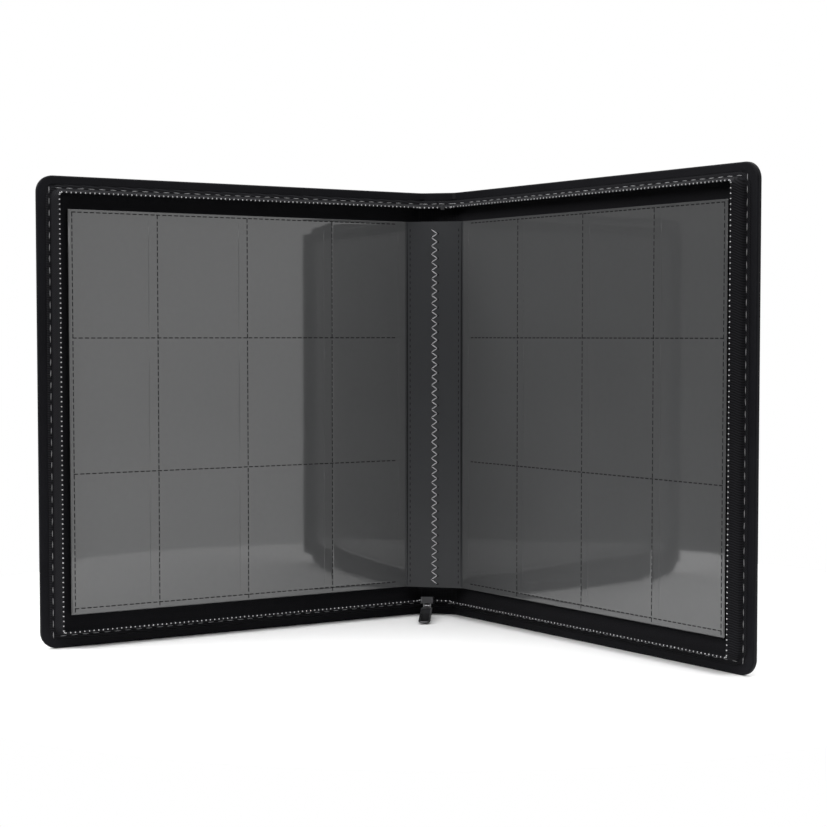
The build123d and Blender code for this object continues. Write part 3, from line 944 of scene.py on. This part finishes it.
def gutter_rings(side, number):
    """One sheet's bare strip from the sewn centre to its bend line."""
    pivot = leaf_pivot(side, number)
    start = SHEET_HIGH.x - GUTTER_OVERLAP
    rings = []
    for index in range(GUTTER_STEPS + 1):
        x = start + (abs(pivot.x) - start) * index / GUTTER_STEPS
        creep = LEAF_THICKNESS * math.tan(ANGLE / 2) * index / GUTTER_STEPS
        front = Vector((side * x, pivot.y, 0))
        back = Vector((side * (x + creep), pivot.y + LEAF_THICKNESS, 0))
        rings.append([
            Vector((front.x, front.y, SHEET_LOW.z)),
            Vector((back.x, back.y, SHEET_LOW.z)),
            Vector((back.x, back.y, SHEET_HIGH.z)),
            Vector((front.x, front.y, SHEET_HIGH.z)),
        ])
    return rings


def build_gutters():
    """The bare strips of all sheets between the sewn centre and the leaves."""
    for side, names in SIDES.items():
        gather = Gather()
        for number in range(1, LEAF_COUNT + 1):
            gather.add(*sweep(gutter_rings(side, number)))
        strips = paint(gather.build(f"{names['leaves']}_gutters", smooth=False), "band")
        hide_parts(f"{names['leaves']}_sheet_gutters")
        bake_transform(strips)


def build_creases():
    """The pressed crease beside the top sheet's bend line, and the row of welds along it."""
    for side, names in SIDES.items():
        pivot = leaf_pivot(side, 1)
        gather = Gather()
        height = (SHEET_HIGH.z + SHEET_LOW.z) / 2
        middle = Vector((pivot.x - side * CREASE_OFFSET, SHEET_FRONT, height))
        size = (SHEET_HEIGHT - BEAD_MARGIN, *CREASE_BEAD)
        gather.add(*capsule(middle, UPRIGHT, SIDEWAYS, FORWARD, size, segments=8, rings=9))
        for index in range(1, int(SHEET_HEIGHT / CREASE_PITCH)):
            height = SHEET_LOW.z + index * CREASE_PITCH
            spot = Vector((pivot.x - side * CREASE_ROW_OFFSET, SHEET_FRONT, height))
            gather.add(*capsule(spot, UPRIGHT, SIDEWAYS, FORWARD, CREASE_WELD))
        crease = paint(gather.build(f"{names['leaves']}_crease"), "dash")
        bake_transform(crease)


# ---- What holds the sheets ----

def build_saddle_stitch():
    """A zigzag of sewn thread: every diagonal is its own arched stitch, with a dark disc of
    painted shade beside each turn for its needle hole."""
    gather = Gather()
    hole_shades = Gather()
    rng = random.Random(5)
    low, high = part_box("saddle_stitch")
    half = ZIGZAG_PERIOD / 2
    depth = SHEET_FRONT - ZIGZAG_SUNK
    for index in range(int((high.z - low.z) / half)):
        left = -ZIGZAG_SWING if index % 2 else ZIGZAG_SWING
        start = Vector((left, depth, low.z + index * half))
        end = Vector((-left, depth, low.z + (index + 1) * half))
        run = end - start
        unit = run.normalized()
        across = unit.cross(FORWARD).normalized()
        size = (run.length * rng.uniform(*ZIGZAG_LENGTHS), *ZIGZAG_SECTION)
        gather.add(*capsule((start + end) / 2, unit, across, FORWARD, size, segments=8, rings=7))
        # A dark disc of painted shade for the needle hole, set off to one side of the turn.
        spot = start + Vector((HOLE_SHADE_OFFSET, 0, 0))
        hole_shades.add(*capsule(spot, UPRIGHT, SIDEWAYS, FORWARD, HOLE_SHADE_SIZE, segments=8))
    # The discs take the dark weld material as painted shade.
    hole_shade_discs = paint(hole_shades.build("zigzag_hole_shades"), "dash")
    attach(hole_shade_discs, "spine")
    stitch = paint(gather.build("zigzag_thread"), "zigzag")
    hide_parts("saddle_stitch")
    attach(stitch, "spine")


def softened(value):
    """A sine or cosine pushed towards 1 or -1, which squares off a round section."""
    return math.copysign(abs(value) ** PAD_SQUARENESS, value)


def build_pad():
    """The padded strip behind the sheets, crowned between its sewn ends."""
    low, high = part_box("binding_pad")
    rings = []
    for row in range(PAD_ROWS + 1):
        share = row / PAD_ROWS
        pinch = 1 - PAD_PINCH * (abs(2 * share - 1) ** PAD_PINCH_POWER)
        ring = []
        for step in range(PAD_SIDES):
            turn = 2 * math.pi * step / PAD_SIDES
            sx = softened(math.cos(turn))
            sy = softened(math.sin(turn))
            x = (low.x + high.x) / 2 + sx * ((high.x - low.x) / 2 - PAD_INSET) * pinch
            y = (low.y + high.y) / 2 + sy * ((high.y - low.y) / 2 - PAD_INSET) * pinch
            ring.append(Vector((x, y, low.z + (high.z - low.z) * share)))
        rings.append(ring)
    pad = paint(make_object("binding_cushion", *sweep(rings)), "pad")
    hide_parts("binding_pad")
    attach(pad, "spine")


# ---- Outside of the covers ----

def build_outside_seams():
    """The topstitching that holds the edge tape, on the covers' outer faces."""
    for side, names in SIDES.items():
        depth = COVER_THICKNESS + EDGE_WRAP
        name = f"{names['cover']}_edge_seam"
        seam = build_seam(side, OUTSIDE_INSET, depth, OUTSIDE_STITCH, name, HINGE.x + OUTSIDE_START)
        paint(seam, "binding")
        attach(seam, names["body"])


# ---- Stage, light and camera ----

FLOOR_RADIUS = 0.46
FLOOR_SPOT = (0, -0.03, -0.0002)
WHITE = (1, 1, 1, 1)
BRIGHT_DIRECTION = (0.8, 0.6, 0.1)
ROOM_SPREAD = {"From Min": -0.5, "From Max": 0.42, "To Min": 0.13, "To Max": 1.0}
CAMERA_SPOT = (0.24741, -1.33135, 0.22657)
CAMERA_TILT = 90 - 2.70
CAMERA_TURN = 11.38
LENS = 72.98
SENSOR_WIDTH = 36


def build_stage():
    """A small pale floor, so that the glossy leaves mirror little of it."""
    mesh = bpy.data.meshes.new("floor")
    work = bmesh.new()
    bmesh.ops.create_circle(work, cap_ends=True, segments=96, radius=FLOOR_RADIUS)
    work.to_mesh(mesh)
    work.free()
    floor = bpy.data.objects.new("floor", mesh)
    floor.location = FLOOR_SPOT
    bpy.context.scene.collection.objects.link(floor)
    mat = Nodes("pale_floor")
    mat.ramp(mat.noise(mat.place(), scale=3), (0.85, 0.85, 0.85), (0.88, 0.88, 0.88))
    mat.put("Roughness", 0.9)
    mat.put("Specular IOR Level", 0.1)
    floor.data.materials.append(mat.material)


def area_light(name, spot, aim, width, height, power):
    data = bpy.data.lights.new(name, "AREA")
    data.shape = "RECTANGLE"
    data.size = width
    data.size_y = height
    data.energy = power
    lamp = bpy.data.objects.new(name, data)
    lamp.location = spot
    lamp.rotation_euler = (Vector(aim) - Vector(spot)).to_track_quat("-Z", "Y").to_euler()
    bpy.context.scene.collection.objects.link(lamp)


def build_light():
    """A studio that is bright to the right and behind, and dim to the left and in front. The
    backdrop that the camera sees directly stays white."""
    world = bpy.data.worlds.new("studio")
    bpy.context.scene.world = world
    world.use_nodes = True
    tree = world.node_tree
    room = tree.nodes["Background"]
    room.inputs["Color"].default_value = WHITE
    backdrop = tree.nodes.new("ShaderNodeBackground")
    backdrop.inputs["Color"].default_value = WHITE
    direction = tree.nodes.new("ShaderNodeTexCoord").outputs["Generated"]
    lean = tree.nodes.new("ShaderNodeVectorMath")
    lean.operation = "DOT_PRODUCT"
    lean.inputs[1].default_value = BRIGHT_DIRECTION
    strength = tree.nodes.new("ShaderNodeMapRange")
    strength.interpolation_type = "SMOOTHSTEP"
    for socket, value in ROOM_SPREAD.items():
        strength.inputs[socket].default_value = value
    rays = tree.nodes.new("ShaderNodeLightPath")
    mix = tree.nodes.new("ShaderNodeMixShader")
    tree.links.new(direction, lean.inputs[0])
    tree.links.new(lean.outputs["Value"], strength.inputs["Value"])
    tree.links.new(strength.outputs["Result"], room.inputs["Strength"])
    tree.links.new(rays.outputs["Is Camera Ray"], mix.inputs[0])
    tree.links.new(room.outputs[0], mix.inputs[1])
    tree.links.new(backdrop.outputs[0], mix.inputs[2])
    tree.links.new(mix.outputs[0], tree.nodes["World Output"].inputs["Surface"])
    area_light("key_light", (0.5, -1.4, 2.1), (0, 0, 0.05), width=2.4, height=1.6, power=40)
    area_light("fill_light", (-1.5, -1.2, 1.3), (0.1, 0, 0.15), width=1.4, height=1.2, power=44)
    area_light("top_light", (-0.2, 0.9, 2.2), (0, 0.3, 0), width=2.4, height=1.6, power=30)


def build_camera():
    data = bpy.data.cameras.new("camera")
    data.sensor_width = SENSOR_WIDTH
    data.lens = LENS
    data.clip_start = 0.01
    data.clip_end = 50
    camera = bpy.data.objects.new("camera", data)
    camera.location = CAMERA_SPOT
    camera.rotation_euler = (math.radians(CAMERA_TILT), 0, math.radians(CAMERA_TURN))
    bpy.context.scene.collection.objects.link(camera)
    bpy.context.scene.camera = camera


bpy.context.scene.view_settings.view_transform = "Standard"
paint_nodes()
build_zip()
build_hinges()
build_leaves()
build_gutters()
build_creases()
build_saddle_stitch()
build_pad()
build_outside_seams()
build_stage()
build_light()
build_camera()
